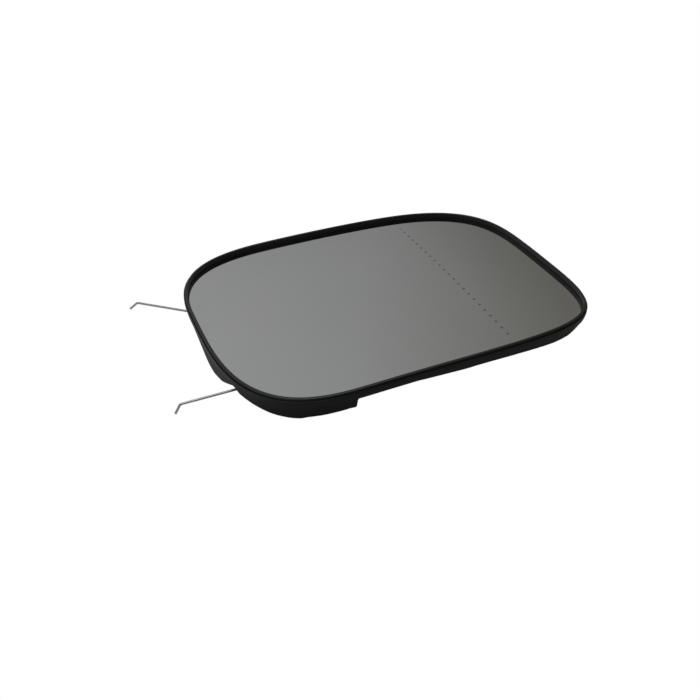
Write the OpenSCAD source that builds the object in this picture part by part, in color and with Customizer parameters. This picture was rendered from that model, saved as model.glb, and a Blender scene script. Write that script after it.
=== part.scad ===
// Heated wide-angle door mirror glass on its clip-on holder, mirror face up.
// X points to the outboard end, Y to the top of the fitted mirror, Z out of the glass.
// The origin is the centre of the adjuster socket, in the plane of its mouth.

/* [Glass outline] */
// Reach of the glass from the socket's axis to the inboard end
reach_inboard = 89.8; // [80:0.1:105]
// Reach to the outboard end
reach_outboard = 94.8; // [85:0.1:110]
// Reach to the top edge
reach_top = 66.8; // [60:0.1:75]
// Reach to the bottom edge
reach_bottom = 65.4; // [60:0.1:75]
// X of the highest point of the top edge
crest_x = -31; // [-40:1:-20]
// X of the lowest point of the bottom edge
sole_x = -30; // [-40:1:-20]
// Y of the inboard-most point
inboard_y = 11.3; // [0:0.1:15]
// Y of the outboard-most point
outboard_y = -2.9; // [-10:0.1:5]
// Squareness of the top inboard corner
square_top_in = 3; // [2.4:0.1:5]
// Squareness of the top outboard corner
square_top_out = 4.7; // [2.4:0.1:6]
// Squareness of the bottom outboard corner
square_bottom_out = 4.4; // [2.4:0.1:6]
// Squareness of the bottom inboard corner
square_bottom_in = 3.2; // [2.4:0.1:5]

/* [Glass] */
// Thickness of the glass
glass_t = 2; // [1.6:0.1:2.4]
// Radius of the main convex face
face_radius = 1400; // [1200:50:2000]
// Radius of the wide-angle zone beyond the dotted line
zone_radius = 450; // [350:10:700]
// X of the dotted line where the wide-angle zone starts
zone_x = 38.8; // [30:0.1:50]
// Diameter of each mark of the dotted line
mark_d = 1.5; // [0.8:0.1:2]
// Spacing of the marks
mark_pitch = 5; // [4:0.5:7]
// Depth of the marks, where the mirror coating is etched away
mark_depth = 0.05; // [0.03:0.01:0.1]
// Distance that the dotted line keeps from the top and bottom edges
mark_margin = 10.1; // [6:0.1:15]
// Clearance between the edge of the glass and the lip
edge_gap = 0.1; // [0.05:0.05:0.3]

/* [Heater] */
// Thickness of the adhesive heater pad
pad_t = 0.4; // [0.3:0.05:0.8]
// How far the pad's edge lies inside the edge of the glass
pad_inset = 3; // [1:0.5:8]
// Width of a terminal blade
blade_w = 6.3; // [4.8:0.1:6.3]
// Thickness of a terminal blade
blade_t = 0.8; // [0.5:0.1:1]
// Length of the standing blade
blade_l = 7.5; // [6:0.5:8.5]
// Length of the terminal's foot on the pad
foot_l = 8; // [7:0.5:9]
// X of the two terminals
terminal_x = 50; // [46:1:60]
// Y of the two terminals, one above and one below the middle
terminal_y = 16; // [14:1:22]
// Diameter of a rivet's head
rivet_d = 3.2; // [2.5:0.1:3.6]

/* [Holder] */
// Height of the lip above the face of the glass
lip_h = 2.6; // [2:0.1:3]
// Width of the rounded lip
lip_w = 1.45; // [1.3:0.05:1.6]
// Width of the whole rim, measured from the edge of the opening
rim_w = 2.05; // [2:0.05:2.6]
// How far the rim's band reaches below the face of the glass
band_drop = 2.2; // [2:0.1:2.5]
// Thickness of the floor that carries the pad and the glass
floor_t = 1.2; // [1:0.1:1.8]
// Thickness of the ribs behind the floor
rib_t = 1.2; // [0.8:0.1:1.8]
// Height of the ribs
rib_h = 3.2; // [2:0.1:3.6]
// Number of radial ribs
rib_count = 14; // [8:1:20]
// Distance of the edge rib from the opening
edge_rib_inset = 11; // [8:0.5:16]

/* [Skirt] */
// Depth of the corner lobe below the band
corner_lobe_h = 6.3; // [4:0.1:7]
// Length of the corner lobe along the edge
corner_lobe_l = 56; // [45:1:65]
// How far the corner lobe's outboard part is set back
corner_recess = 0.7; // [0.3:0.1:0.9]
// Depth of the inboard lobe below the band
inboard_lobe_h = 3.4; // [2:0.1:5]
// Length of the inboard lobe along the edge
inboard_lobe_l = 48; // [35:1:55]
// How far the inboard lobe flares out, for each unit of its depth
inboard_flare = 0.3; // [0:0.05:0.4]
// Depth of the low ledge under the bottom edge
ledge_h = 3.7; // [2:0.1:5]
// Length of the ledge along the edge
ledge_l = 107; // [80:1:120]
// How far the ledge is set back from the band
ledge_inset = 0.35; // [0.2:0.05:0.6]
// Thickness of the skirt's wall
skirt_t = 1; // [0.8:0.1:1.2]

/* [Adjuster socket] */
// Height of the glass's crown above the socket's mouth
crown_h = 14; // [13:0.5:18]
// Radius of the socket's bore
socket_r = 27; // [26:0.5:28]
// Thickness of the socket's wall
socket_wall = 4; // [3.5:0.1:5]
// Length of the plain bore at the mouth
mouth_l = 4.4; // [3.5:0.1:4.6]
// Depth of the groove that the spring crosses
groove_depth = 1.5; // [1:0.1:2]

/* [Retaining spring] */
// Diameter of the spring wire
wire_d = 1.1; // [0.8:0.1:1.4]
// Height of the wire's axis above the socket's mouth
wire_z = 6; // [5.6:0.1:6.2]
// Distance of the two straight runs from the socket's middle
run_y = 24; // [23:0.1:24.5]
// Y of the lower leg where it leaves the skirt
lower_exit_y = -36.1; // [-40:0.1:-30]
// Y at which the upper leg bends away
upper_bend_y = 25.6; // [24.5:0.1:30]
// How far inside the glass's inboard end both legs bend
leg_bend_in = 6.8; // [5:0.1:12]
// How far the upper leg reaches past the inboard end
upper_over = 21.6; // [12:0.1:28]
// How far the lower leg reaches past the inboard end
lower_over = 20.6; // [12:0.1:28]
// Angle at which the upper leg's end splays away
splay = 39.3; // [25:0.1:45]
// Outward length of the upper leg's hook
upper_hook_out = 4.6; // [2:0.1:6]
// Outward length of the lower leg's hook
lower_hook_out = 2.6; // [2:0.1:6]
// Drop of the hooked ends
hook_drop = 4.3; // [1:0.1:4.6]
// Clearance around the wire in its slots and guides
wire_gap = 0.25; // [0.15:0.05:0.4]

/* [Hidden] */

// Glass surface
// The main face is a sphere. Beyond the dotted line its section goes on as a tighter arc that
// starts tangent to the sphere, and both are turned about one axis that runs along X.
axis_z = crown_h - face_radius;
zone_r = sqrt(face_radius * face_radius - zone_x * zone_x);
zone_cx = zone_x * (1 - zone_radius / face_radius);
zone_cr = zone_r * (1 - zone_radius / face_radius);

// Distance of the face from the turning axis at x
function face_r(x) = x <= zone_x
    ? sqrt(face_radius * face_radius - x * x)
    : zone_cr + sqrt(zone_radius * zone_radius - pow(x - zone_cx, 2));

// Height of the surface that lies drop below the face
function face_z(x, y, drop = 0) = axis_z + sqrt(pow(face_r(x) - drop, 2) - y * y);

deep = 40;
face_margin = 12;
face_end = max(reach_inboard, reach_outboard) + face_margin;
face_sweep = 1.1 * asin((max(reach_top, reach_bottom) + face_margin) / (face_r(face_end) - deep));
arc_steps = 12;

function span(a, b, n) = [for (i = [0 : n]) a + (b - a) * i / n];
face_xs = concat(
    span(-face_end, zone_x, arc_steps),
    [for (x = span(zone_x, face_end, arc_steps)) if (x > zone_x) x]
);

// A layer of the curved stack, from one distance below the face to another
module layer(top, bottom) {
    last = len(face_xs) - 1;
    upper = [for (x = face_xs) [face_r(x) - top, -x]];
    lower = [for (i = [0 : last]) [face_r(face_xs[last - i]) - bottom, -face_xs[last - i]]];
    translate([0, 0, axis_z])
        rotate([0, -90, 0])
            rotate([0, 0, -face_sweep])
                rotate_extrude(angle = 2 * face_sweep, $fn = 2400)
                    polygon(concat(upper, lower));
}

pad_top = glass_t;
floor_top = glass_t + pad_t;
floor_bottom = floor_top + floor_t;
floor_mid = floor_top + floor_t / 2;

// Outline
// Each corner is a quarter of a superellipse, taken at even angles about its own centre.
corner_steps = 90;
function quarter_r(a, b, n, t) = pow(pow(abs(cos(t)) / a, n) + pow(abs(sin(t)) / b, n), -1 / n);
function quarter(cx, cy, a, b, n, start) = [
    for (i = [0 : corner_steps - 1])
        let (t = start + 90 * i / corner_steps, r = quarter_r(a, b, n, t))
            [cx + r * cos(t), cy + r * sin(t)]
];
loop = concat(
    quarter(crest_x, outboard_y, reach_outboard - crest_x, reach_top - outboard_y, square_top_out, 0),
    quarter(crest_x, inboard_y, reach_inboard + crest_x, reach_top - inboard_y, square_top_in, 90),
    quarter(sole_x, inboard_y, reach_inboard + sole_x, reach_bottom + inboard_y, square_bottom_in, 180),
    quarter(sole_x, outboard_y, reach_outboard - sole_x, reach_bottom + outboard_y, square_bottom_out, 270)
);
loop_n = len(loop);

// Distance run along the outline from its outboard-most point, at each of its points
function run_lengths(i = 0, sum = 0) = i == loop_n
    ? [sum]
    : concat([sum], run_lengths(i + 1, sum + norm(loop[(i + 1) % loop_n] - loop[i])));
runs = run_lengths();
girth = runs[loop_n];
table_x = [for (i = [0 : loop_n]) [runs[i], loop[i % loop_n].x]];
table_y = [for (i = [0 : loop_n]) [runs[i], loop[i % loop_n].y]];
function wrap(s) = s < 0 ? s + girth : s >= girth ? s - girth : s;
function edge(s) = [lookup(wrap(s), table_x), lookup(wrap(s), table_y)];
function outward(s) =
    let (d = edge(s + 1) - edge(s - 1))
        [d.y, -d.x] / norm(d);
function edge_out(s, out) = edge(s) + out * outward(s);

sole_s = runs[3 * corner_steps];

// Skirt
// The rim's lower edge drops into two lobes of skirt round the bottom inboard corner, with a
// notch between them where the spring's lower leg comes out. A low ledge follows under the
// bottom edge. Each profile is a list of [share of the length, share of the depth].
notch_s = lookup(-lower_exit_y, [for (i = [2 * corner_steps : 3 * corner_steps - 1]) [-loop[i].y, runs[i]]]);
inboard_lobe_from = notch_s - inboard_lobe_l;
corner_lobe_end = notch_s + corner_lobe_l;
ledge_lag = 15;
ledge_from = sole_s + ledge_lag;
ledge_end = ledge_from + ledge_l;
inboard_profile = [
    [0, 0], [0.2, 0.29], [0.33, 0.53], [0.46, 0.75], [0.59, 0.92], [0.72, 1], [0.81, 0.86],
    [0.87, 0.65], [0.91, 0.38], [0.96, 0.08], [1, 0]
];
corner_profile = [
    [0, 0], [0.07, 0.45], [0.15, 0.57], [0.22, 0.71], [0.29, 0.84], [0.36, 0.92], [0.43, 0.98],
    [0.5, 1], [0.57, 1], [0.62, 0.93], [0.7, 0.89], [0.78, 0.84], [0.89, 0.82], [0.95, 0.73],
    [0.985, 0.45], [1, 0]
];
ledge_profile = [
    [0, 0], [0.08, 0.29], [0.14, 0.4], [0.21, 0.47], [0.25, 0.52], [0.295, 0.46], [0.35, 0.5],
    [0.41, 0.54], [0.48, 0.63], [0.58, 0.79], [0.7, 1], [0.83, 0.91], [0.94, 0.58], [1, 0]
];
recess_profile = [[0.6, 0], [0.66, 1], [0.93, 1], [1, 0]];
inset_profile = [[0, 0], [0.05, 1], [0.95, 1], [1, 0]];
function skirt_depth(s) =
    inboard_lobe_h * lookup((s - inboard_lobe_from) / inboard_lobe_l, inboard_profile)
    + corner_lobe_h * lookup((s - notch_s) / corner_lobe_l, corner_profile)
    + ledge_h * lookup((s - ledge_from) / ledge_l, ledge_profile);
function recess(s) =
    corner_recess * lookup((s - notch_s) / corner_lobe_l, recess_profile)
    + ledge_inset * lookup((s - ledge_from) / ledge_l, inset_profile);

// How far the skirt leans out, or in where it is negative, for each unit of its depth
corner_lean = -0.1;
function lean(s) = s < notch_s ? inboard_flare : corner_lean;

// Stations
// Places round the opening at which every outline and section is taken. They lie close together
// where the edge turns and where the skirt changes depth, and far apart on the long sides.
straight_pitch = 14;
turn_pitch = 6;
skirt_pitch = 4;
end_pitch = 0.9;
end_zone = 2.5;
ledge_pitch = 12;
function turn(i) =
    let (a = loop[(i + 1) % loop_n] - loop[i % loop_n], b = loop[(i + 2) % loop_n] - loop[(i + 1) % loop_n])
        abs(asin(cross(a, b) / (norm(a) * norm(b))));
function density(s) = 1 / straight_pitch
    + (s > inboard_lobe_from && s < corner_lobe_end + 1 ? 1 / skirt_pitch : 0)
    + (abs(s - corner_lobe_end) < end_zone ? 1 / end_pitch : 0)
    + (s > ledge_from && s < ledge_end ? 1 / ledge_pitch : 0);
function ranks(i = 0, sum = 0) = i == loop_n
    ? [sum]
    : concat([sum], ranks(i + 1, sum + turn(i) / turn_pitch + (runs[i + 1] - runs[i]) * density(runs[i])));
rank = ranks();
station_n = ceil(rank[loop_n]);
rank_to_run = [for (i = [0 : loop_n]) [rank[i], runs[i]]];
stations = [for (i = [0 : station_n - 1]) lookup(rank[loop_n] * i / station_n, rank_to_run)];
function outline(out) = [for (s = stations) edge_out(s, out)];

module plate(out, top, bottom) {
    intersection() {
        linear_extrude(crown_h + deep) polygon(outline(out));
        layer(top, bottom);
    }
}

// Mirror glass
mark_top = reach_top - mark_margin;
mark_low = -(reach_bottom - mark_margin);
mark_rows = floor((mark_top - mark_low) / mark_pitch);
module mirror_glass() {
    color([0.55, 0.56, 0.55])
        difference() {
            plate(-edge_gap, 0, glass_t);
            for (i = [0 : mark_rows]) {
                y = mark_low + i * mark_pitch;
                translate([zone_x, y, face_z(zone_x, y) - mark_depth]) cylinder(d = mark_d, h = 1, $fn = 24);
            }
        }
}

module heater_pad() {
    color([0.85, 0.6, 0.25]) plate(-edge_gap - pad_inset, pad_top, floor_top);
}

// Heater terminals
// Each is an angle: a foot riveted to the back of the pad, and a blade that stands out behind.
seat_gap = 0.03;
foot_x = terminal_x + foot_l / 2;
pad_back_z = face_z(foot_x, terminal_y, floor_top);
slope_x = atan(face_z(foot_x + 1, terminal_y, floor_top) - pad_back_z);
slope_y = atan(face_z(foot_x, terminal_y + 1, floor_top) - pad_back_z);
rivet_head = 0.5;
rivet_hole = rivet_d / 2;

// Puts its children on the back of the pad, square to it, with Z pointing into the glass
module on_pad(side) {
    translate([foot_x, side * terminal_y, pad_back_z - seat_gap])
        rotate([side * slope_y, -slope_x, 0]) children();
}

module terminal(side) {
    on_pad(side)
        difference() {
            union() {
                translate([-foot_l / 2, -blade_w / 2, -blade_t]) cube([foot_l, blade_w, blade_t]);
                translate([-foot_l / 2, -blade_w / 2, -blade_l]) cube([blade_t, blade_w, blade_l]);
            }
            translate([blade_t / 2, 0, -2 * blade_t]) cylinder(d = rivet_hole, h = 3 * blade_t, $fn = 24);
            translate([-foot_l / 2 - blade_t, 0, -blade_l * 0.65])
                rotate([0, 90, 0]) cylinder(d = blade_w / 4, h = 3 * blade_t, $fn = 24);
        }
}

module heater_terminal_upper() {
    color([0.8, 0.78, 0.7]) terminal(1);
}

module heater_terminal_lower() {
    color([0.8, 0.78, 0.7]) terminal(-1);
}

module terminal_rivets() {
    color([0.8, 0.65, 0.35])
        for (side = [-1, 1])
            on_pad(side)
                translate([blade_t / 2, 0, -blade_t - rivet_head]) {
                    cylinder(d = rivet_d, h = rivet_head, $fn = 32);
                    cylinder(d = rivet_hole, h = rivet_head + blade_t, $fn = 32);
                }
}

// Rim
// The rim is one section carried round the opening, and its lower edge follows the skirt. A
// section is a list of [distance out from the opening, height above the glass]. The step at the
// recess leans, because the recess starts earlier low down than high up.
step_lean = 1.75;
function rim_section(s) =
    let (e = skirt_depth(s), b = -band_drop, root = -floor_mid)
    let (high = recess(s - step_lean), low = recess(s + step_lean), k = lean(s) * e)
        [
            [0, root + 0.3],
            [0, lip_h - 0.45],
            [0.35, lip_h],
            [lip_w - 0.45, lip_h],
            [lip_w, lip_h - 0.4],
            [lip_w, lip_h - 0.95],
            [lip_w + 0.1, lip_h - 1.35],
            [lip_w + 0.3, lip_h - 1.1],
            [rim_w, lip_h - 1.45],
            [rim_w, -0.5],
            [rim_w - 0.1, -0.8],
            [rim_w - 0.25, b + 0.45],
            [rim_w - 0.45, b],
            [rim_w - 0.5 - high, b - 0.08],
            [rim_w - 0.5 - (high + low) / 2 + 0.3 * k, b - 0.1 - 0.5 * e],
            [rim_w - 0.6 - low + 0.85 * k, b - 0.12 - 0.85 * e],
            [rim_w - 0.75 - low + k, b - 0.15 - e],
            [rim_w - 0.75 - low + k - skirt_t, min(b - 0.2 - e, root + 0.1)],
            [0.25 - low, root]
        ];
function rim_ring(s) =
    let (p = edge(s), n = outward(s), z = face_z(p.x, p.y))
        [for (q = rim_section(s)) [p.x + q.x * n.x, p.y + q.x * n.y, z + q.y]];

// A closed ring of sections, or a tube of them with its ends capped, as one skin of triangles
module skin(rings, closed) {
    n = len(rings);
    m = len(rings[0]);
    spans = closed ? n : n - 1;
    walls = [
        for (i = [0 : spans - 1], j = [0 : m - 1])
            let (a = i * m + j, b = i * m + (j + 1) % m, over = ((i + 1) % n - i) * m)
                each [[a, a + over, b], [b, a + over, b + over]]
    ];
    far = (n - 1) * m;
    caps = closed ? [] : [for (j = [1 : m - 2]) each [[0, j, j + 1], [far, far + j + 1, far + j]]];
    polyhedron(points = [for (r = rings) each r], faces = concat(walls, caps));
}

// Floor
// The floor closes the rim behind the glass, and its edge is merged into the rim. Its corners
// fall between the rim's stations, so that no edge of one runs along an edge of the other.
floor_tuck = 0.1;
function between(i) = (stations[i] + (i + 1 < station_n ? stations[i + 1] : girth)) / 2;
module holder_floor() {
    intersection() {
        linear_extrude(crown_h + deep)
            polygon([for (i = [0 : station_n - 1]) edge_out(between(i), floor_tuck)]);
        layer(floor_top, floor_bottom);
    }
}

// Ribs
rib_drop = floor_bottom + rib_h;
socket_out = socket_r + socket_wall;
module ribs() {
    intersection() {
        linear_extrude(crown_h + deep) {
            window_outlines(rib_t);
            difference() {
                polygon(outline(-edge_rib_inset));
                polygon(outline(-edge_rib_inset - rib_t));
            }
            intersection() {
                polygon(outline(-edge_rib_inset - rib_t / 2));
                difference() {
                    union() {
                        for (i = [0 : rib_count - 1])
                            rotate(360 * (i + 0.5) / rib_count)
                                translate([0, -rib_t / 2]) square([face_end, rib_t]);
                    }
                    circle(r = socket_out - 0.5, $fn = 96);
                }
            }
        }
        layer(floor_mid, rib_drop);
    }
}

// Spring route
// The wire runs round the outside of the socket, crosses it in two straight runs and ends in two
// legs that leave at the inboard edge.
wire_r = wire_d / 2;
bow_r = socket_out + wire_r + wire_gap;
bow_angle = asin(run_y / bow_r);
run_end_x = -sqrt(socket_out * socket_out - run_y * run_y) - 8;
leg_bend_x = leg_bend_in - reach_inboard;
upper_bend = [leg_bend_x, upper_bend_y, wire_z];
upper_leg = upper_over + leg_bend_in;
upper_tip = upper_bend + upper_leg * [-1, tan(splay), 0];
lower_tip = [-reach_inboard - lower_over, lower_exit_y, wire_z];
upper_end = upper_tip + [-upper_hook_out * cos(splay), upper_hook_out * sin(splay), -hook_drop];
lower_end = lower_tip + [-lower_hook_out, 0, -hook_drop];
lower_bend = [leg_bend_x, lower_exit_y, wire_z];
upper_root = [run_end_x, run_y, wire_z];
lower_root = [run_end_x, -run_y, wire_z];
bow_steps = 14;
bow = [for (a = span(bow_angle, -bow_angle, bow_steps)) [bow_r * cos(a), bow_r * sin(a), wire_z]];
bow_last = len(bow) - 1;

// A bend between two straights, as points of a short curve that is tangent to both
function unit(v) = v / norm(v);
function bend(before, corner, after, reach) =
    let (a = corner + reach * unit(before - corner), b = corner + reach * unit(after - corner))
        [for (t = span(0, 1, 4)) (1 - t) * (1 - t) * a + 2 * t * (1 - t) * corner + t * t * b];
route = concat(
    [upper_end],
    bend(upper_end, upper_tip, upper_bend, 0.8),
    bend(upper_tip, upper_bend, upper_root, 3),
    bend(upper_bend, upper_root, bow[0], 2),
    bend(upper_root, bow[0], bow[1], 1.5),
    [for (i = [1 : bow_last - 1]) bow[i]],
    bend(bow[bow_last - 1], bow[bow_last], lower_root, 1.5),
    bend(bow[bow_last], lower_root, lower_bend, 2),
    bend(lower_root, lower_bend, lower_tip, 3),
    bend(lower_bend, lower_tip, lower_end, 0.8),
    [lower_end]
);
route_last = len(route) - 1;
wire_sides = 12;
function heading(i) = unit(route[min(i + 1, route_last)] - route[max(i - 1, 0)]);
function wire_ring(i) =
    let (t = heading(i), side = unit(cross([0, 0, 1], t)), up = cross(t, side))
        [for (k = [0 : wire_sides - 1])
            let (a = 360 * k / wire_sides)
                route[i] + wire_r * (cos(a) * side + sin(a) * up)];

module retaining_spring() {
    color([0.6, 0.61, 0.62]) skin([for (i = [0 : route_last]) wire_ring(i)], false);
}

// Socket
groove_top = 2 * wire_z - mouth_l;
module socket() {
    difference() {
        cylinder(r = socket_out, h = crown_h, $fn = 96);
        translate([0, 0, -1]) cylinder(r = socket_r, h = crown_h + 2, $fn = 96);
        translate([0, 0, mouth_l])
            cylinder(r = socket_r + groove_depth, h = groove_top - mouth_l, $fn = 96);
        for (side = [-1, 1])
            translate([-face_end / 2, side * run_y - slot_half, wire_z - slot_half])
                cube([face_end, 2 * slot_half, 2 * slot_half]);
    }
}

// Slots and guides for the wire
slot_half = wire_r + wire_gap;
space_half = slot_half + 0.4;
space_top = wire_z + space_half;
module leg_space(a, b) {
    d = b - a;
    translate([a.x, a.y, -1])
        rotate(atan2(d.y, d.x))
            translate([0, -space_half, 0]) cube([norm(d), 2 * space_half, space_top + 1]);
}

// Open space under the ribs for the whole run of the wire, from behind up to its far side
module wire_space() {
    translate([0, 0, -1]) cylinder(r = bow_r + space_half, h = space_top + 1, $fn = 96);
    leg_space(upper_root, upper_bend);
    leg_space(lower_root, lower_bend);
    leg_space(upper_bend, upper_tip);
    leg_space(lower_bend, lower_tip);
}

module wire_guide(root, tip, share, side) {
    p = root + share * (tip - root);
    guide_l = 5;
    arm_t = 1.2;
    translate([p.x, p.y, wire_z])
        rotate(atan2(tip.y - root.y, tip.x - root.x))
            difference() {
                translate([-guide_l / 2, side > 0 ? -slot_half : -slot_half - 2, -slot_half - arm_t])
                    cube([guide_l, 2 * slot_half + 2, crown_h]);
                translate([-guide_l, side > 0 ? -slot_half - 1 : -slot_half, -slot_half])
                    cube([2 * guide_l, 2 * slot_half + 1, 2 * slot_half]);
            }
}

module guides() {
    for (share = [0.42, 0.86]) {
        wire_guide(upper_root, upper_bend, share, -1);
        wire_guide(lower_root, lower_bend, share, 1);
    }
}

// Windows for the heater terminals
window_gap = 1.5;
window = [foot_l + 2 * window_gap + 2, blade_w + 2 * window_gap];
module window_outlines(grow) {
    for (side = [-1, 1])
        translate([foot_x - window.x / 2 - 1 - grow, side * terminal_y - window.y / 2 - grow])
            square([window.x + 2 * grow, window.y + 2 * grow]);
}

module glass_holder() {
    color([0.08, 0.08, 0.085])
        difference() {
            union() {
                skin([for (s = stations) rim_ring(s)], true);
                holder_floor();
                difference() {
                    ribs();
                    wire_space();
                }
                intersection() {
                    union() {
                        socket();
                        guides();
                    }
                    layer(floor_mid, deep);
                }
            }
            translate([0, 0, -1]) linear_extrude(crown_h + 2) window_outlines(0);
        }
}

mirror_glass();
heater_pad();
heater_terminal_upper();
heater_terminal_lower();
terminal_rivets();
glass_holder();
retaining_spring();
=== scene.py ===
# %% [markdown]
# # A door mirror glass in its holder
# The object is the part that is bought when the mirror of a car door breaks: a sheet of convex
# mirror glass, stuck with a heating pad to a black moulded holder, which snaps on the mirror's
# adjuster and is locked there by a bent spring wire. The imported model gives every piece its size
# and place. This lesson gives the pieces their finish, and makes again the ones whose smooth
# surface matters most: the glass, because a mirror shows every flat facet, and the wire.

# %% Load the fixed frame
import math

import bmesh
import bpy
import numpy as np
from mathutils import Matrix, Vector


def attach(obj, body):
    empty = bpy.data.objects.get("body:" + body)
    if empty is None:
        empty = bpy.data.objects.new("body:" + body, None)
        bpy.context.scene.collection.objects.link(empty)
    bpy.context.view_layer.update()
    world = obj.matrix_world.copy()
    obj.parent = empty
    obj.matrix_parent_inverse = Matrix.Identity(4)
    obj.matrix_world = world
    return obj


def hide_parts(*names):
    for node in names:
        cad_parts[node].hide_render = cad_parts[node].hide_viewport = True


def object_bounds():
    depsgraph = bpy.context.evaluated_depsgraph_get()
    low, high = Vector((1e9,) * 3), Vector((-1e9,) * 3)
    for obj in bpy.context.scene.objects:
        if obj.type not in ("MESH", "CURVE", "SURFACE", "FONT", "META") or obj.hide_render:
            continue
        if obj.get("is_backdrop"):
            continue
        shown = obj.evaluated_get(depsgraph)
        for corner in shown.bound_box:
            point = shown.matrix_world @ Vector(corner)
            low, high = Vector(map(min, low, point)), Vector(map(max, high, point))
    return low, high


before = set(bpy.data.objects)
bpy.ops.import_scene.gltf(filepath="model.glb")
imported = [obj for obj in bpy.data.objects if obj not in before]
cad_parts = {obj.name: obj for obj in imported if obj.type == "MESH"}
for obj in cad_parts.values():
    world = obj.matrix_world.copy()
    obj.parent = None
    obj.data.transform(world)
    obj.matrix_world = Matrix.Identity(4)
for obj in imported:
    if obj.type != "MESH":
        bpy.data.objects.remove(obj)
MM = 0.001
ROOT = "root"
packed_low, packed_high = (list(corner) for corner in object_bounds())
print("packed model reaches from", packed_low, "to", packed_high)

# %% [markdown]
# ## One way to write nodes
# Materials and geometry trees are both graphs of nodes. Written node by node they are hard to
# read, so two small classes help. `Wire` wraps an output socket and turns Python's own operators
# into Math nodes, so a roughness can be written as `0.3 + grain * 0.12`. `Graph.node` makes any
# other node from its type, its settings and what goes into its sockets. Settings come first,
# because some of them change which sockets a node has.

# %% Helpers for node graphs
class Wire:
    """An output socket that can be used in Python arithmetic."""

    def __init__(self, graph, socket):
        self.graph = graph
        self.socket = socket

    def maths(self, operation, first, second):
        return self.graph.node("ShaderNodeMath", {"operation": operation}, {0: first, 1: second})

    def __add__(self, other):
        return self.maths("ADD", self, other)

    def __radd__(self, other):
        return self.maths("ADD", other, self)

    def __sub__(self, other):
        return self.maths("SUBTRACT", self, other)

    def __mul__(self, other):
        return self.maths("MULTIPLY", self, other)

    def __pow__(self, other):
        return self.maths("POWER", self, other)


class Graph:
    """A node tree, filled through one method."""

    def __init__(self, tree):
        self.tree = tree

    def node(self, kind, settings=None, values=None, out=0):
        made = self.tree.nodes.new(kind)
        for name, value in (settings or {}).items():
            if name == "stops":
                self.set_stops(made.color_ramp, value)
            else:
                setattr(made, name, value)
        for key, value in (values or {}).items():
            self.feed(made.inputs[key], value)
        return Wire(self, made.outputs[out]) if made.outputs else made

    def feed(self, socket, value):
        if isinstance(value, Wire):
            self.tree.links.new(value.socket, socket)
        else:
            socket.default_value = value

    def set_stops(self, ramp, stops):
        while len(ramp.elements) < len(stops):
            ramp.elements.new(1.0)
        for element, (place, colour) in zip(ramp.elements, stops):
            element.position = place
            element.color = colour


def grey(value):
    return (value, value, value, 1.0)


print("node helpers are ready")

# %% [markdown]
# ## Materials
# A finish is more than a colour. Moulded plastic has a fine grain that breaks up highlights, a
# mirror coating is nearly perfect but for a faint haze, drawn wire has scratches along its length,
# and a heating film shows its printed track. Each material below is one Principled shader with a
# few procedural nodes on Object coordinates, which lie still on the piece from every side.

# %% Material helper
def new_material(name, **fixed):
    """A material whose Principled sockets take the fixed values, and its graph."""
    material = bpy.data.materials.new(name)
    material.use_nodes = True
    graph = Graph(material.node_tree)
    shader = material.node_tree.nodes["Principled BSDF"]
    for socket, value in fixed.items():
        shader.inputs[socket.replace("_", " ")].default_value = value
    place = graph.node("ShaderNodeTexCoord", out="Object")
    return material, graph, shader, place


def noise(graph, place, scale, detail=2.0, roughness=0.5):
    values = {"Vector": place, "Scale": scale, "Detail": detail, "Roughness": roughness}
    return graph.node("ShaderNodeTexNoise", {}, values)


def bump(graph, height, strength, distance):
    values = {"Height": height, "Strength": strength, "Distance": distance}
    return graph.node("ShaderNodeBump", {}, values)


def blend_colour(graph, share, first, second, blend="MIX"):
    settings = {"data_type": "RGBA", "blend_type": blend}
    return graph.node("ShaderNodeMix", settings, {"Factor": share, "A": first, "B": second}, out=2)


print("material helper is ready")

# %% [markdown]
# ### Mirror coating
# The glass carries a thin chromium coating, darker than silver, so it gives back only part of the
# light. In the shader that is a metal with a grey base colour. Its roughness is almost nothing,
# with a slow haze of wiping marks that only shows where something bright is reflected.

# %% Mirror material
mirror_finish, graph, shader, place = new_material("mirror_coating", Metallic=1.0)
haze = noise(graph, place, 35.0, 3.0)
graph.feed(shader.inputs["Roughness"], 0.015 + haze * 0.02)
tint = blend_colour(graph, haze, (0.55, 0.565, 0.56, 1.0), (0.58, 0.59, 0.58, 1.0))
graph.feed(shader.inputs["Base Color"], tint)
print("made", mirror_finish.name)

# %% [markdown]
# ### Etched marks
# The dotted line shows the driver where the wide-angle zone begins. Each dot is a spot where the
# coating is etched away, so the dark pad behind shows through clear glass.

# %% Mark material
mark_finish, graph, shader, place = new_material("etched_mark", Roughness=0.12, Metallic=0.0)
speckle = noise(graph, place, 900.0)
graph.feed(shader.inputs["Base Color"], blend_colour(graph, speckle, grey(0.1), grey(0.13)))
print("made", mark_finish.name)

# %% [markdown]
# ### Moulded plastic
# The holder is one black moulding with a satin face. A fine grain in the bump softens the
# highlight, a broader and weaker one gives the slight waviness of a thin moulded wall, and the
# colour drifts a little so that the black isn't dead.

# %% Plastic material
plastic_finish, graph, shader, place = new_material("black_moulding", IOR=1.5, Metallic=0.0)
drift = noise(graph, place, 60.0, 3.0)
grain = noise(graph, place, 2600.0, 2.0, 0.6)
wave = noise(graph, place, 90.0, 1.0)
black = blend_colour(graph, drift, (0.005, 0.005, 0.0053, 1.0), (0.008, 0.008, 0.0084, 1.0))
graph.feed(shader.inputs["Base Color"], black)
graph.feed(shader.inputs["Roughness"], 0.3 + grain * 0.12)
graph.feed(shader.inputs["Normal"], bump(graph, grain * 0.25 + wave, 0.35, 0.00012))
print("made", plastic_finish.name)

# %% [markdown]
# ### Spring steel
# Drawn wire is bright but not polished. The die leaves fine scratches along its length. Noise that
# is stretched along X, the way the legs run, gives them.

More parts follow.
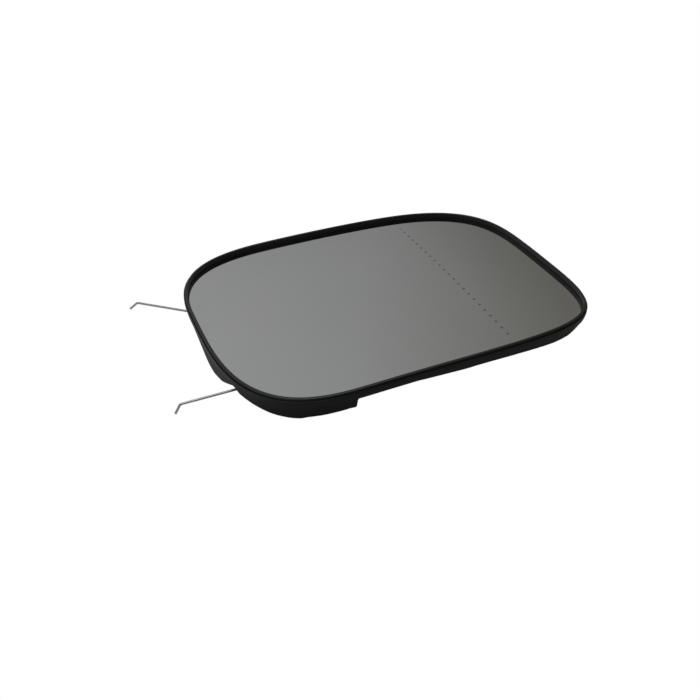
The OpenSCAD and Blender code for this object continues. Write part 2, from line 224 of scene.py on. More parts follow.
# %% Steel material
steel_finish, graph, shader, place = new_material("spring_steel", Metallic=1.0)
stretched = graph.node("ShaderNodeMapping", {}, {"Vector": place, "Scale": (60.0, 1500.0, 1500.0)})
draw_marks = noise(graph, stretched, 1.0, 2.0)
graph.feed(shader.inputs["Base Color"], blend_colour(graph, draw_marks, grey(0.4), grey(0.47)))
graph.feed(shader.inputs["Roughness"], 0.36 + draw_marks * 0.08)
graph.feed(shader.inputs["Normal"], bump(graph, draw_marks, 0.08, 0.00001))
print("made", steel_finish.name)

# %% [markdown]
# ### Heating film
# The pad is an amber film with a dark resistance track printed back and forth. A wave texture
# makes the track, and a ramp cuts it to sharp edges.

# %% Film material
film_finish, graph, shader, place = new_material("heating_film", Roughness=0.35)
track = graph.node(
    "ShaderNodeTexWave",
    {"wave_type": "BANDS", "bands_direction": "Y", "wave_profile": "SIN"},
    {"Vector": place, "Scale": 40.0, "Distortion": 0.0},
    out="Fac",
)
sharp_edges = {"stops": [(0.44, grey(0.0)), (0.5, grey(1.0))]}
printed = graph.node("ShaderNodeValToRGB", sharp_edges, {"Fac": track})
film = blend_colour(graph, printed, (0.42, 0.2, 0.05, 1.0), (0.06, 0.045, 0.04, 1.0))
graph.feed(shader.inputs["Base Color"], film)
print("made", film_finish.name)

# %% [markdown]
# ### Terminal metal and rivet brass
# The blades are stamped from tinned brass and the rivets are plain brass. Both are soft metals
# with a slightly uneven surface, so one function makes them from two colours each.

# %% Contact metals
def contact_metal(name, dull, bright):
    material, graph, shader, place = new_material(name, Metallic=1.0)
    cloud = noise(graph, place, 700.0, 3.0)
    graph.feed(shader.inputs["Base Color"], blend_colour(graph, cloud, dull, bright))
    graph.feed(shader.inputs["Roughness"], 0.25 + cloud * 0.2)
    graph.feed(shader.inputs["Normal"], bump(graph, cloud, 0.15, 0.00003))
    return material


tin_finish = contact_metal("tinned_blade", (0.5, 0.49, 0.46, 1.0), (0.72, 0.71, 0.68, 1.0))
brass_finish = contact_metal("rivet_brass", (0.55, 0.38, 0.14, 1.0), (0.78, 0.58, 0.27, 1.0))
print("made", tin_finish.name, "and", brass_finish.name)

# %% [markdown]
# ## The shape of the glass
# The glass is a piece of a large sphere as far as the dotted line. Beyond it the section bends
# more tightly, so that the driver sees further round. In plan the edge is made of four quarters of
# superellipses. The same few sizes as in the construction give both, so that the smooth glass fits
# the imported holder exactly.

# %% Sizes and surface of the glass
FACE_RADIUS = 1400 * MM
ZONE_RADIUS = 450 * MM
ZONE_X = 38.8 * MM
CROWN_HEIGHT = 14 * MM
GLASS_THICKNESS = 2 * MM
EDGE_GAP = 0.1 * MM
REACH = {"inboard": 89.8 * MM, "outboard": 94.8 * MM, "top": 66.8 * MM, "bottom": 65.4 * MM}
# the quarters of the outline meet on these four lines
CREST_X = -31 * MM
SOLE_X = -30 * MM
INBOARD_Y = 11.3 * MM
OUTBOARD_Y = -2.9 * MM
AXIS_Z = CROWN_HEIGHT - FACE_RADIUS
zone_r = math.sqrt(FACE_RADIUS**2 - ZONE_X**2)
zone_share = 1 - ZONE_RADIUS / FACE_RADIUS


def face_r(x):
    """Distance of the face from the axis that it is turned about."""
    main = np.sqrt(FACE_RADIUS**2 - np.minimum(x, ZONE_X) ** 2)
    past = np.maximum(x, ZONE_X) - ZONE_X * zone_share
    outer = zone_r * zone_share + np.sqrt(ZONE_RADIUS**2 - past**2)
    return np.where(x <= ZONE_X, main, outer)


def face_z(x, y, drop=0.0):
    """Height of the face, or of the surface that lies the drop below it."""
    return AXIS_Z + np.sqrt((face_r(x) - drop) ** 2 - y**2)


for label, x in (("crown", 0.0), ("outboard end", REACH["outboard"])):
    print(label, "of the glass at", round(float(face_z(np.array(x), 0.0)) / MM, 2), "mm")

# %% Outline of the opening
QUARTER_STEPS = 400
SQUARENESS = {"top_out": 4.7, "top_in": 3.0, "low_in": 3.2, "low_out": 4.4}
SHEET_POINTS = 360


def quarter(centre, wide, tall, corner, start):
    """A quarter of a superellipse, from the start angle on, round its own centre."""
    power = SQUARENESS[corner]
    turn = np.radians(start) + np.linspace(0, np.pi / 2, QUARTER_STEPS, endpoint=False)
    reach = (np.abs(np.cos(turn) / wide) ** power + np.abs(np.sin(turn) / tall) ** power) ** (-1 / power)
    return np.stack([centre[0] + reach * np.cos(turn), centre[1] + reach * np.sin(turn)], 1)


loop = np.concatenate([
    quarter((CREST_X, OUTBOARD_Y), REACH["outboard"] - CREST_X, REACH["top"] - OUTBOARD_Y, "top_out", 0),
    quarter((CREST_X, INBOARD_Y), REACH["inboard"] + CREST_X, REACH["top"] - INBOARD_Y, "top_in", 90),
    quarter((SOLE_X, INBOARD_Y), REACH["inboard"] + SOLE_X, REACH["bottom"] + INBOARD_Y, "low_in", 180),
    quarter((SOLE_X, OUTBOARD_Y), REACH["outboard"] - SOLE_X, REACH["bottom"] + OUTBOARD_Y, "low_out", 270),
])
closed_loop = np.vstack([loop, loop[:1]])
loop_runs = np.concatenate([[0], np.cumsum(np.linalg.norm(np.diff(closed_loop, axis=0), axis=1))])
GIRTH = float(loop_runs[-1])


def on_loop(runs):
    """Points of the opening's edge at the given distances round it."""
    return np.stack([np.interp(runs % GIRTH, loop_runs, closed_loop[:, k]) for k in (0, 1)], 1)


def opening(runs):
    """Points of the opening's edge at the given distances round it, and directions out of it."""
    tangent = on_loop(runs + 1 * MM) - on_loop(runs - 1 * MM)
    tangent /= np.linalg.norm(tangent, axis=1, keepdims=True)
    return on_loop(runs), np.stack([tangent[:, 1], -tangent[:, 0]], 1)


edge, outward = opening(np.linspace(0, GIRTH, SHEET_POINTS, endpoint=False))
print("opening is", np.round(np.ptp(edge, 0) / MM, 2), "mm, and", round(GIRTH / MM, 2), "mm round")

# %% [markdown]
# ## Mirror sheet
# A mirror is the least forgiving surface there is: the eye reads each bend of the reflection. A
# subdivided cube or a cut sphere would leave ripples at the edge, so the sheet is built as rings
# that shrink from the outline to the middle, each point set on the true surface. The ground edge
# is a small bevel, as on real glass.

# %% Build the mirror sheet
def ring_skin(rings, name, joined=False):
    """A skin through rings of equally many points, joined last to first or closed by two fans."""
    count = len(rings[0])
    points = [tuple(p) for ring in rings for p in ring]
    faces = []
    ends = [] if joined else [(0, True), (len(rings) - 1, False)]
    for k in range(len(rings) if joined else len(rings) - 1):
        here, there = k * count, (k + 1) % len(rings) * count
        for i in range(count):
            j = (i + 1) % count
            faces.append((here + i, here + j, there + j, there + i))
    for k, flip in ends:
        middle = len(points)
        points.append(tuple(np.mean(rings[k], 0)))
        for i in range(count):
            fan = (k * count + i, k * count + (i + 1) % count, middle)
            faces.append(fan[::-1] if flip else fan)
    mesh = bpy.data.meshes.new(name)
    mesh.from_pydata(points, [], faces)
    mesh.validate()
    obj = bpy.data.objects.new(name, mesh)
    bpy.context.scene.collection.objects.link(obj)
    return obj


def surface_ring(share, inset, drop):
    """The outline drawn in to a share of its size, set on the face or the drop below it."""
    flat = (edge - outward * (EDGE_GAP + inset)) * share
    return np.column_stack([flat, face_z(flat[:, 0], flat[:, 1], drop)])


GROUND_EDGE = 0.25 * MM
shares = [0.02, *np.linspace(0.08, 0.98, 19)]
front = [surface_ring(s, GROUND_EDGE, 0.0) for s in shares] + [surface_ring(1.0, GROUND_EDGE, 0.0)]
side = [surface_ring(1.0, 0.0, GROUND_EDGE), surface_ring(1.0, 0.0, GLASS_THICKNESS - GROUND_EDGE)]
back = [surface_ring(s, GROUND_EDGE, GLASS_THICKNESS) for s in (1.0, 0.75, 0.5, 0.25, 0.02)]
mirror_sheet = ring_skin(front + side + back, "mirror_sheet")


def smooth_by_angle(obj, degrees):
    """Smooth shading that keeps the edges sharper than the angle."""
    obj.data.polygons.foreach_set("use_smooth", [True] * len(obj.data.polygons))
    obj.data.set_sharp_from_angle(angle=math.radians(degrees))


def point_outwards(obj):
    """Normals that all point out of a closed mesh."""
    shape = bmesh.new()
    shape.from_mesh(obj.data)
    bmesh.ops.recalc_face_normals(shape, faces=shape.faces)
    shape.to_mesh(obj.data)
    shape.free()


point_outwards(mirror_sheet)
smooth_by_angle(mirror_sheet, 25)
mirror_sheet.data.materials.append(mirror_finish)
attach(mirror_sheet, ROOT)
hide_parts("mirror_glass")
print("mirror sheet has", len(mirror_sheet.data.polygons), "faces")

# %% [markdown]
# ## Dotted line
# The marks repeat at one pitch, which is work for Geometry Nodes: a line of points, one small disc
# on each, and then every vertex lifted on the curved face by the same formula as the glass. The
# inputs have names, so a reader can change the pitch without touching the tree.

# %% A tree that lays marks on the glass
class GeometryGraph(Graph):
    """A geometry tree with named inputs that end in one geometry output."""

    def __init__(self, name, inputs):
        tree = bpy.data.node_groups.new(name, "GeometryNodeTree")
        super().__init__(tree)
        tree.interface.new_socket("Geometry", in_out="INPUT", socket_type="NodeSocketGeometry")
        for label, kind in inputs.items():
            tree.interface.new_socket(label, in_out="INPUT", socket_type=kind)
        tree.interface.new_socket("Geometry", in_out="OUTPUT", socket_type="NodeSocketGeometry")
        self.entry = tree.nodes.new("NodeGroupInput")

    def given(self, label):
        return Wire(self, self.entry.outputs[label])

    def finish(self, geometry, material):
        done = self.node("GeometryNodeSetMaterial", {}, {"Geometry": geometry, "Material": material})
        self.node("NodeGroupOutput", {}, {"Geometry": done})


def grown(name, source, graph, values):
    """Runs a tree on an object's data and returns the result as a plain mesh object."""
    seed = bpy.data.objects.new(name + "_seed", source)
    bpy.context.scene.collection.objects.link(seed)
    modifier = seed.modifiers.new("grow", "NODES")
    modifier.node_group = graph.tree
    items = graph.tree.interface.items_tree
    sockets = {item.name: item.identifier for item in items if item.in_out == "INPUT"}
    for label, value in values.items():
        modifier[sockets[label]] = value
    evaluated = seed.evaluated_get(bpy.context.evaluated_depsgraph_get())
    mesh = bpy.data.meshes.new_from_object(evaluated)
    mesh.name = name
    seed.modifiers.remove(modifier)
    bpy.data.objects.remove(seed)
    result = bpy.data.objects.new(name, mesh)
    bpy.context.scene.collection.objects.link(result)
    return result


MARK_PITCH = 5 * MM
MARK_DIAMETER = 1.5 * MM
MARK_MARGIN = 10.1 * MM
MARK_LIFT = 0.012 * MM
MARK_SIDES = 20
mark_low = -(REACH["bottom"] - MARK_MARGIN)
mark_count = int((REACH["top"] - MARK_MARGIN - mark_low) / MARK_PITCH) + 1

lengths = ("Pitch", "First", "Line x", "Radius", "Face radius", "Axis z", "Lift")
marks = GeometryGraph("lay_marks", {"Count": "NodeSocketInt"} | dict.fromkeys(lengths, "NodeSocketFloat"))
start = marks.node("ShaderNodeCombineXYZ", {}, {"X": marks.given("Line x"), "Y": marks.given("First")})
step = marks.node("ShaderNodeCombineXYZ", {}, {"Y": marks.given("Pitch")})
line_values = {"Count": marks.given("Count"), "Start Location": start, "Offset": step}
line = marks.node("GeometryNodeMeshLine", {}, line_values)
disc_values = {"Vertices": MARK_SIDES, "Radius": marks.given("Radius")}
disc = marks.node("GeometryNodeMeshCircle", {"fill_type": "NGON"}, disc_values)
laid = marks.node("GeometryNodeInstanceOnPoints", {}, {"Points": line, "Instance": disc})
flat = marks.node("GeometryNodeRealizeInstances", {}, {"Geometry": laid})
spot = marks.node("GeometryNodeInputPosition")
parts = marks.node("ShaderNodeSeparateXYZ", {}, {"Vector": spot}).socket.node
spot_x, spot_y = Wire(marks, parts.outputs["X"]), Wire(marks, parts.outputs["Y"])
radius = marks.given("Face radius")
above_axis = (radius * radius - spot_x * spot_x - spot_y * spot_y) ** 0.5
height = marks.given("Axis z") + marks.given("Lift") + above_axis
seat = marks.node("ShaderNodeCombineXYZ", {}, {"X": spot_x, "Y": spot_y, "Z": height})
raised = marks.node("GeometryNodeSetPosition", {}, {"Geometry": flat, "Position": seat})
marks.finish(raised, mark_finish)

# %% Lay the dotted line
dotted_line = grown("dotted_line", bpy.data.meshes.new("marks_seed"), marks, {
    "Count": mark_count, "Pitch": MARK_PITCH, "First": mark_low, "Line x": ZONE_X,
    "Radius": MARK_DIAMETER / 2, "Face radius": FACE_RADIUS, "Axis z": AXIS_Z, "Lift": MARK_LIFT,
})
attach(dotted_line, ROOT)
print("dotted line of", mark_count, "marks,", len(dotted_line.data.polygons), "faces")

# %% [markdown]
# ## Pieces kept from the construction
# The pad, the blades and the rivets already have their true shape, and so has the back of the
# holder. A copy of each is merged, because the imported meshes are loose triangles, and shaded
# smooth except across real edges. The weighted normals keep flat faces flat next to small bevels.

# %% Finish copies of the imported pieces
MERGE = 0.002 * MM


def finished_copy(node, name, material, degrees, rework=None):
    """A merged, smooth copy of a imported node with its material, changed by rework if that is given."""
    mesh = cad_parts[node].data.copy()
    mesh.name = name
    shape = bmesh.new()
    shape.from_mesh(mesh)
    bmesh.ops.remove_doubles(shape, verts=shape.verts, dist=MERGE)
    if rework:
        rework(shape)
    shape.to_mesh(mesh)
    shape.free()
    obj = bpy.data.objects.new(name, mesh)
    bpy.context.scene.collection.objects.link(obj)
    smooth_by_angle(obj, degrees)
    weighted = obj.modifiers.new("flat faces keep their normals", "WEIGHTED_NORMAL")
    weighted.keep_sharp = True
    weighted.weight = 90
    mesh.materials.clear()
    mesh.materials.append(material)
    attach(obj, ROOT)
    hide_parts(node)
    print("finished", name, "with", len(mesh.polygons), "faces")


finished_copy("heater_pad", "heating_pad", film_finish, 40)
for side_name in ("upper", "lower"):
    packed_blade, blade = "heater_terminal_" + side_name, "terminal_blade_" + side_name
    finished_copy(packed_blade, blade, tin_finish, 30)
finished_copy("terminal_rivets", "blade_rivets", brass_finish, 30)

# %% [markdown]
# ## Rim of the holder
# The rim is what the eye follows round the mirror: a rounded lip, a groove, a band, and below it
# the skirt that drops in two lobes round the bottom inboard corner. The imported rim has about 140
# sections with sharp corners, which is right for a solid but shows flats on satin plastic. So the
# same section is swept again through many more places, with its corners rounded and the skirt a
# little fuller, as the photograph shows it.

# %% Skirt along the rim
LOWER_LEG_Y = -36.1 * MM
INBOARD_LOBE_L = 56 * MM
INBOARD_LOBE_H = 3.6 * MM
CORNER_LOBE_L = 57.5 * MM
CORNER_LOBE_H = 6.4 * MM
LEDGE_L = 102 * MM
LEDGE_H = 3.6 * MM
LEDGE_LAG = 14 * MM
CORNER_RECESS = 0.7 * MM
LEDGE_RECESS = 0.35 * MM

inboard_quarter = slice(2 * QUARTER_STEPS, 3 * QUARTER_STEPS)
sole_run = float(loop_runs[3 * QUARTER_STEPS])
notch_run = float(np.interp(-LOWER_LEG_Y, -loop[inboard_quarter, 1], loop_runs[inboard_quarter]))
inboard_lobe = (notch_run - INBOARD_LOBE_L, INBOARD_LOBE_L)
corner_lobe = (notch_run, CORNER_LOBE_L)
low_ledge = (sole_run + LEDGE_LAG, LEDGE_L)


def along(runs, feature, points, soft=0.7 * MM):
    """A feature's profile through (share of its length, share of its depth), its corners eased."""
    start, length = feature
    shares, depths = zip(*points)
    shifts = np.linspace(-soft, soft, 9)
    return np.mean([np.interp((runs - start + shift) / length, shares, depths) for shift in shifts], 0)


def skirt_depth(runs):
    """How far the skirt drops below the band."""
    inboard = along(runs, inboard_lobe, [
        (0, 0), (0.25, 0.3), (0.4, 0.5), (0.6, 0.9), (0.7, 1), (0.85, 0.8), (1, 0),
    ])
    corner = along(runs, corner_lobe, [
        (0, 0), (0.05, 0.4), (0.15, 0.55), (0.35, 0.85), (0.5, 0.98), (0.6, 1), (0.75, 0.95),
        (0.9, 0.88), (0.97, 0.78), (0.985, 0),
    ])
    ledge = along(runs, low_ledge, [
        (0, 0), (0.05, 0.2), (0.2, 0.42), (0.27, 0.5), (0.3, 0.45), (0.4, 0.48), (0.55, 0.65),
        (0.75, 1), (0.85, 0.95), (0.95, 0.3), (1, 0),
    ])
    return INBOARD_LOBE_H * inboard + CORNER_LOBE_H * corner + LEDGE_H * ledge


def skirt_recess(runs):
    """How far the skirt stands in from the band."""
    corner = along(runs, corner_lobe, [(0.6, 0), (0.65, 1), (0.95, 1), (1, 0)])
    ledge = along(runs, low_ledge, [(0, 0), (0.05, 1), (0.95, 1), (1, 0)])
    return CORNER_RECESS * corner + LEDGE_RECESS * ledge


print("notch at", round(notch_run / MM, 2), "mm and sole at", round(sole_run / MM, 2), "mm round")

# %% [markdown]
# The section is a closed ring of corners. The upper ones never change, and the lower ones follow
# the skirt's depth, recess and lean at each place. Sections lie closer together at the notch and at
# the end of the corner lobe, where the depth changes fast.

# %% Sweep the rim
LIP_W = 1.45 * MM
LIP_H = 2.6 * MM
RIM_W = 2.15 * MM
BAND_DROP = 2.2 * MM
FLOOR_MIDDLE = 3.0 * MM
FLOOR_BACK = 3.6 * MM
STEP_LEAN = 1.75 * MM
INBOARD_FLARE = 0.3
CORNER_LEAN = -0.1
BULGE = 1.2 * MM
BULGE_DEPTH = 5 * MM
RIM_SECTIONS = 520
corner_end = notch_run + CORNER_LOBE_L
rim_runs = np.unique(np.concatenate([
    np.linspace(0, GIRTH, RIM_SECTIONS, endpoint=False),
    np.linspace(notch_run - 4 * MM, notch_run + 4 * MM, 24),
    np.linspace(corner_end - 4.5 * MM, corner_end + 1.5 * MM, 30),
]))
rim_edge = on_loop(rim_runs)
rim_top = face_z(rim_edge[:, 0], rim_edge[:, 1])


def rim_section(runs):
    """Corners of the section, as distances out from the opening and up from the glass."""
    depth = skirt_depth(runs)
    upper_step, lower_step = skirt_recess(runs - STEP_LEAN), skirt_recess(runs + STEP_LEAN)
    lean = np.where(runs < notch_run, INBOARD_FLARE, CORNER_LEAN) * depth
    band = -BAND_DROP
    back = RIM_W - 0.75 * MM - lower_step + lean
    inner = 0.25 * MM - lower_step
    lip, crest, wide = LIP_W / MM, LIP_H / MM, RIM_W / MM
    upper = [
        # the rounded lip, from its wall at the glass
        (0, -2.7), (0, crest - 0.5), (0.05, crest - 0.24), (0.16, crest - 0.07), (0.36, crest),
        (lip - 0.5, crest), (lip - 0.25, crest - 0.06), (lip - 0.07, crest - 0.22),
        (lip, crest - 0.5), (lip, crest - 1.0),
        # the groove
        (lip + 0.03, 1.36), (lip + 0.11, 1.24), (lip + 0.23, 1.3), (lip + 0.37, 1.46),
        # the band
        (wide - 0.19, 1.46), (wide - 0.06, 1.36), (wide, 1.1), (wide, -0.5), (wide - 0.05, -0.7),
        (wide - 0.18, -1.2), (wide - 0.25, -1.75), (wide - 0.31, -2.05), (wide - 0.45, band / MM),
    ]
    skirt = [
        (RIM_W - 0.5 * MM - upper_step, band - 0.08 * MM),
        (RIM_W - 0.5 * MM - (upper_step + lower_step) / 2 + 0.3 * lean, band - 0.1 * MM - 0.5 * depth),
        (RIM_W - 0.6 * MM - lower_step + 0.85 * lean, band - 0.12 * MM - 0.85 * depth),
        (back + 0.08 * MM, band - 0.14 * MM - 0.95 * depth),
        (back - 0.1 * MM, band - 0.15 * MM - depth),
        (back - 1.0 * MM, np.minimum(band - 0.15 * MM - depth, 0.05 * MM - FLOOR_MIDDLE)),
        (back - 1.1 * MM, np.minimum(band - 0.1 * MM - 0.95 * depth, -FLOOR_MIDDLE)),
        (inner, -FLOOR_BACK - 0.02 * MM),
        (inner - 0.5 * MM, -FLOOR_BACK - 0.02 * MM),
        (inner - 0.5 * MM, -FLOOR_MIDDLE),
    ]
    return [(out * MM, up * MM) for out, up in upper] + skirt


# The end of the corner lobe bulges, so its lower part is carried on along the rim.
bulge = BULGE * along(rim_runs, corner_lobe, [(0.85, 0), (0.95, 1)])
rings = []
for out, up in rim_section(rim_runs):
    below = np.clip((-up - BAND_DROP) / BULGE_DEPTH, 0, 1)
    carried_edge, carried_outward = opening(rim_runs + bulge * below)
    spots = carried_edge + carried_outward * np.broadcast_to(out, len(rim_runs))[:, None]
    rings.append(np.column_stack([spots, rim_top + up]))
rim = ring_skin(rings, "rim_sweep", joined=True)
point_outwards(rim)
print("rim of", len(rim_runs), "sections and", len(rim.data.polygons), "faces")

# %% [markdown]
# The copy of the holder loses its packed rim: each face with a corner outside the opening, on the
# wall of the lip, or on the skirt below the floor. Flat faces of the back are joined, because thin
# triangles shade badly. The new rim then takes its place in the same mesh, because the real holder
# is one moulding, and its root runs on under the floor's edge.

# %% Put the rim on the holder
SLIVER = 0.02 * MM
FLAT_ANGLE = math.radians(0.7)
near_edge, near_outward = opening(np.linspace(0, GIRTH, 2400, endpoint=False))
near_top = face_z(near_edge[:, 0], near_edge[:, 1])
OUTSIDE = 0.28 * MM
LIP_WALL, LIP_WALL_FOOT = -0.6 * MM, -1.5 * MM
SKIRT_WALL, SKIRT_WALL_TOP = -1.7 * MM, -3.75 * MM


def on_rim(spot):
    """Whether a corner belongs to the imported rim, from its place against the opening's edge."""
    nearest = int(np.argmin(np.sum((near_edge - spot[:2]) ** 2, 1)))
    out = float(np.dot(spot[:2] - near_edge[nearest], near_outward[nearest]))
    up = spot[2] - near_top[nearest]
    on_lip = out > LIP_WALL and up > LIP_WALL_FOOT
    on_skirt = out > SKIRT_WALL and up < SKIRT_WALL_TOP
    return out > OUTSIDE or on_lip or on_skirt


def change_rim(shape):
    """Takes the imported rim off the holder's mesh and puts the swept one on."""
    packed_rim = {vert for vert in shape.verts if on_rim(np.array(vert.co))}
    old = [face for face in shape.faces if packed_rim.intersection(face.verts)]
    bmesh.ops.delete(shape, geom=old, context="FACES")
    bmesh.ops.dissolve_degenerate(shape, edges=shape.edges, dist=SLIVER)
    bmesh.ops.dissolve_limit(shape, angle_limit=FLAT_ANGLE, verts=shape.verts, edges=shape.edges)
    shape.from_mesh(rim.data)
    print("changed", len(old), "packed faces for", len(rim.data.polygons))


finished_copy("glass_holder", "holder_moulding", plastic_finish, 40, change_rim)
bpy.data.objects.remove(rim)

# %% [markdown]
# ## Retaining spring
# The wire is one bent rod, and a rod is a curve with a round section. The route lists the corners:
# a hooked end, the splayed upper leg, a straight run across the socket, the bow round its far side,
# and the same back to the lower hook. Each corner is turned into a short bend that is tangent to
# both straights, as a bending pin leaves it. A tree then sweeps a circle along the route.

# %% Route of the spring wire
WIRE_RADIUS = 0.55 * MM
WIRE_Z = 6 * MM
RUN_Y = 24 * MM
UPPER_Y = 25.6 * MM
LEG_BEND_IN = 6.8 * MM
BEND_X = LEG_BEND_IN - REACH["inboard"]
UPPER_OVER = 21.6 * MM
LOWER_OVER = 20.6 * MM
SPLAY = math.radians(39.3)
UPPER_HOOK_OUT = 4.6 * MM
LOWER_HOOK_OUT = 2.6 * MM
HOOK_DROP = 4.3 * MM
HOOK_BEND, LEG_BEND, ROOT_BEND, BOW_BEND = 0.8 * MM, 3 * MM, 2 * MM, 1.5 * MM
SOCKET_OUTSIDE = 31 * MM
ROOT_GAP = 8 * MM
BOW_GAP = 0.25 * MM
BOW_RADIUS = SOCKET_OUTSIDE + WIRE_RADIUS + BOW_GAP
WIRE_SIDES = 16


def spot_at(x, y):
    return np.array([x, y, WIRE_Z])


bow_half = math.asin(RUN_Y / BOW_RADIUS)
bow_angles = np.linspace(bow_half, -bow_half, 29)
bow = [spot_at(BOW_RADIUS * math.cos(a), BOW_RADIUS * math.sin(a)) for a in bow_angles]
root_x = -math.sqrt(SOCKET_OUTSIDE**2 - RUN_Y**2) - ROOT_GAP
upper_root, lower_root = spot_at(root_x, RUN_Y), spot_at(root_x, -RUN_Y)
upper_bend, lower_bend = spot_at(BEND_X, UPPER_Y), spot_at(BEND_X, LOWER_LEG_Y)
upper_tip = upper_bend + (UPPER_OVER + LEG_BEND_IN) * np.array([-1, math.tan(SPLAY), 0])
lower_tip = spot_at(-REACH["inboard"] - LOWER_OVER, LOWER_LEG_Y)
splay_way = np.array([-math.cos(SPLAY), math.sin(SPLAY), 0])
upper_end = upper_tip + UPPER_HOOK_OUT * splay_way - np.array([0, 0, HOOK_DROP])
lower_end = lower_tip - np.array([LOWER_HOOK_OUT, 0, HOOK_DROP])


def bend(before, corner, after, reach, steps=8):
    """Points of a short curve that is tangent to both straights at a corner."""
    first = corner + reach * (before - corner) / np.linalg.norm(before - corner)
    last = corner + reach * (after - corner) / np.linalg.norm(after - corner)
    shares = np.linspace(0, 1, steps)
    return [(1 - t) ** 2 * first + 2 * t * (1 - t) * corner + t**2 * last for t in shares]


route = [
    upper_end,
    *bend(upper_end, upper_tip, upper_bend, HOOK_BEND),
    *bend(upper_tip, upper_bend, upper_root, LEG_BEND),
    *bend(upper_bend, upper_root, bow[0], ROOT_BEND),
    *bend(upper_root, bow[0], bow[2], BOW_BEND),
    *bow[2:-2],
    *bend(bow[-3], bow[-1], lower_root, BOW_BEND),
    *bend(bow[-1], lower_root, lower_bend, ROOT_BEND),
    *bend(lower_root, lower_bend, lower_tip, LEG_BEND),
    *bend(lower_bend, lower_tip, lower_end, HOOK_BEND),
    lower_end,
]
wire_length = sum(float(np.linalg.norm(b - a)) for a, b in zip(route, route[1:]))
print("wire of", round(wire_length / MM), "mm in", len(route), "points")

# %% Sweep the wire
sweep = GeometryGraph("sweep_wire", {"Radius": "NodeSocketFloat", "Sides": "NodeSocketInt"})
path = sweep.node("GeometryNodeMeshToCurve", {}, {"Mesh": sweep.given("Geometry")})
section_values = {"Radius": sweep.given("Radius"), "Resolution": sweep.given("Sides")}
section = sweep.node("GeometryNodeCurvePrimitiveCircle", {}, section_values)
swept_values = {"Curve": path, "Profile Curve": section, "Fill Caps": True}
swept = sweep.node("GeometryNodeCurveToMesh", {}, swept_values)
sweep.finish(swept, steel_finish)

route_mesh = bpy.data.meshes.new("route_seed")
route_mesh.from_pydata([tuple(p) for p in route], [(i, i + 1) for i in range(len(route) - 1)], [])
spring = grown("spring_wire", route_mesh, sweep, {"Radius": WIRE_RADIUS, "Sides": WIRE_SIDES})
point_outwards(spring)
smooth_by_angle(spring, 40)
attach(spring, ROOT)
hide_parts("retaining_spring")
print("spring wire has", len(spring.data.polygons), "faces")

# %% [markdown]
# ## Studio
# The photograph is a plain product shot: white all round, and a view from above the inboard bottom
# corner. An overexposed paper is white to the camera, but what it throws on the plastic is dimmer.
# Light Path tells the two apart: camera rays see white, and all others see a lit paper with a pool of
# light painted into its colour, brighter at the inboard side, where the photograph's lobe is brightest.

# %% Floor
FLOOR_HALF = 3.0
# where the pool of light painted on the paper is full, and where it has faded out
PAINTED_LIGHT_FULL_X = -125 * MM
PAINTED_LIGHT_GONE_X = -85 * MM
floor_mesh = bpy.data.meshes.new("floor")
floor_corners = [(-1, -1), (1, -1), (1, 1), (-1, 1)]
floor_points = [(x * FLOOR_HALF, y * FLOOR_HALF, packed_low[2]) for x, y in floor_corners]
floor_mesh.from_pydata(floor_points, [], [(0, 1, 2, 3)])
floor = bpy.data.objects.new("floor", floor_mesh)
bpy.context.scene.collection.objects.link(floor)
paper, graph, shader, place = new_material("pale_floor", Roughness=0.9)
shader.inputs["Specular IOR Level"].default_value = 0.1
# painted pool of light: the paper's base colour is bright on the inboard side and dim elsewhere
place_x = graph.node("ShaderNodeSeparateXYZ", {}, {"Vector": place}, out="X")
painted_light_fade = {"From Min": PAINTED_LIGHT_FULL_X, "From Max": PAINTED_LIGHT_GONE_X, "To Min": 1.0, "To Max": 0.0}
painted_light_share = graph.node("ShaderNodeMapRange", {}, {"Value": place_x} | painted_light_fade)
graph.feed(shader.inputs["Base Color"], blend_colour(graph, painted_light_share, grey(0.26), grey(0.98)))
overexposed = graph.node("ShaderNodeEmission", {}, {"Color": grey(1.0), "Strength": 1.0})
seen_directly = graph.node("ShaderNodeLightPath", out="Is Camera Ray")
lit = Wire(graph, shader.outputs["BSDF"])
shown = graph.node("ShaderNodeMixShader", {}, {0: seen_directly, 1: lit, 2: overexposed})
graph.feed(paper.node_tree.nodes["Material Output"].inputs["Surface"], shown)
floor_mesh.materials.append(paper)
floor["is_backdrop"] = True
print("floor at", packed_low[2])

# %% [markdown]
# The glass shows whatever stands opposite the camera, so the world decides its tone. A ramp across
# the view gives the fall from bright on the left to dim and slightly warm on the right, a second
# one brightens it upwards, and a third dims the side behind the camera. One large soft lamp above
# gives the rim its highlights.

# %% World and light
CAMERA_AIM = Vector((0.32072, 0.73141, -0.60182))
VIEW_AHEAD = Vector((CAMERA_AIM.x, CAMERA_AIM.y, 0.0)).normalized()
VIEW_RIGHT = VIEW_AHEAD.cross(Vector((0.0, 0.0, 1.0)))
world = bpy.data.worlds.new("studio")
world.use_nodes = True
bpy.context.scene.world = world
sky = Graph(world.node_tree)
sky_direction = sky.node("ShaderNodeTexCoord", out="Generated")


def share_along(way):
    """0 for directions against the way, 1 for directions along it."""
    values = {0: sky_direction, 1: way}
    return sky.node("ShaderNodeVectorMath", {"operation": "DOT_PRODUCT"}, values, out="Value") * 0.5 + 0.5


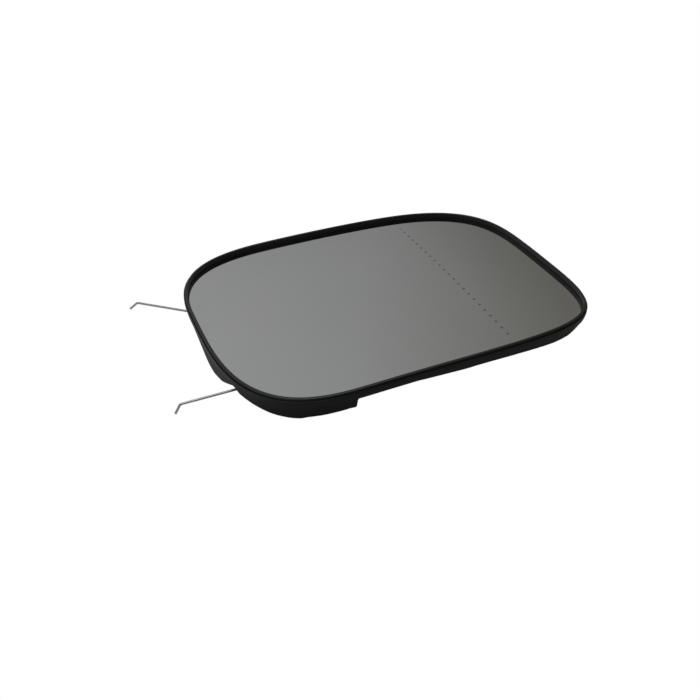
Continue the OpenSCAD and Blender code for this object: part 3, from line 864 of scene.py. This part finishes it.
up = sky.node("ShaderNodeSeparateXYZ", {}, {"Vector": sky_direction}, out="Z")
sideways = sky.node("ShaderNodeValToRGB", {"stops": [
    (0.0, grey(0.5)), (0.38, grey(0.48)), (0.5, grey(0.41)),
    (0.575, (0.332, 0.33, 0.322, 1.0)), (0.63, (0.272, 0.266, 0.254, 1.0)),
    (0.69, (0.224, 0.216, 0.202, 1.0)), (1.0, (0.15, 0.14, 0.128, 1.0)),
]}, {"Fac": share_along(VIEW_RIGHT)})
upwards = sky.node("ShaderNodeValToRGB", {"stops": [
    (0.0, grey(0.6)), (0.3, grey(0.78)), (0.5, grey(0.92)), (0.7, grey(1.0)), (1.0, grey(1.0)),
]}, {"Fac": up})
ahead_stops = {"stops": [(0.3, grey(0.5)), (0.6, grey(1.0))]}
forwards = sky.node("ShaderNodeValToRGB", ahead_stops, {"Fac": share_along(VIEW_AHEAD)})
tone = blend_colour(sky, 1.0, sideways, upwards, "MULTIPLY")
shade = blend_colour(sky, 1.0, tone, forwards, "MULTIPLY")
sky_seen_directly = sky.node("ShaderNodeLightPath", out="Is Camera Ray")
background = world.node_tree.nodes["Background"]
sky.feed(background.inputs["Color"], blend_colour(sky, sky_seen_directly, shade, grey(1.0)))
background.inputs["Strength"].default_value = 1.0


def soft_light(name, place, target, size, power):
    """A round lamp at a place, turned to its target."""
    data = bpy.data.lights.new(name, "AREA")
    data.shape = "DISK"
    data.size = size
    data.energy = power
    lamp = bpy.data.objects.new(name, data)
    bpy.context.scene.collection.objects.link(lamp)
    lamp.location = place
    lamp.rotation_euler = (Vector(target) - Vector(place)).to_track_quat("-Z", "Y").to_euler()


soft_light("top_light", place=(-0.15, -0.1, 1.6), target=(0, 0, 0), size=1.6, power=12)
print("world and light are set")

# %% [markdown]
# ## Camera
# The view was worked out from the even dots and the outline of the glass: a lens of about 40 mm on
# a 36 mm sensor, 37 degrees above the table, from the inboard bottom corner.

# %% Camera
CAMERA_PLACE = (-0.14459, -0.29263, 0.20808 + CROWN_HEIGHT)
camera_data = bpy.data.cameras.new("camera")
camera_data.lens = 40.01
camera_data.sensor_width = 36.0
camera_data.clip_start = 0.01
camera = bpy.data.objects.new("camera", camera_data)
bpy.context.scene.collection.objects.link(camera)
camera.location = CAMERA_PLACE
camera.rotation_euler = CAMERA_AIM.to_track_quat("-Z", "Y").to_euler()
bpy.context.scene.camera = camera
bpy.context.scene.view_settings.view_transform = "Standard"
print("camera looks from", tuple(camera.location))
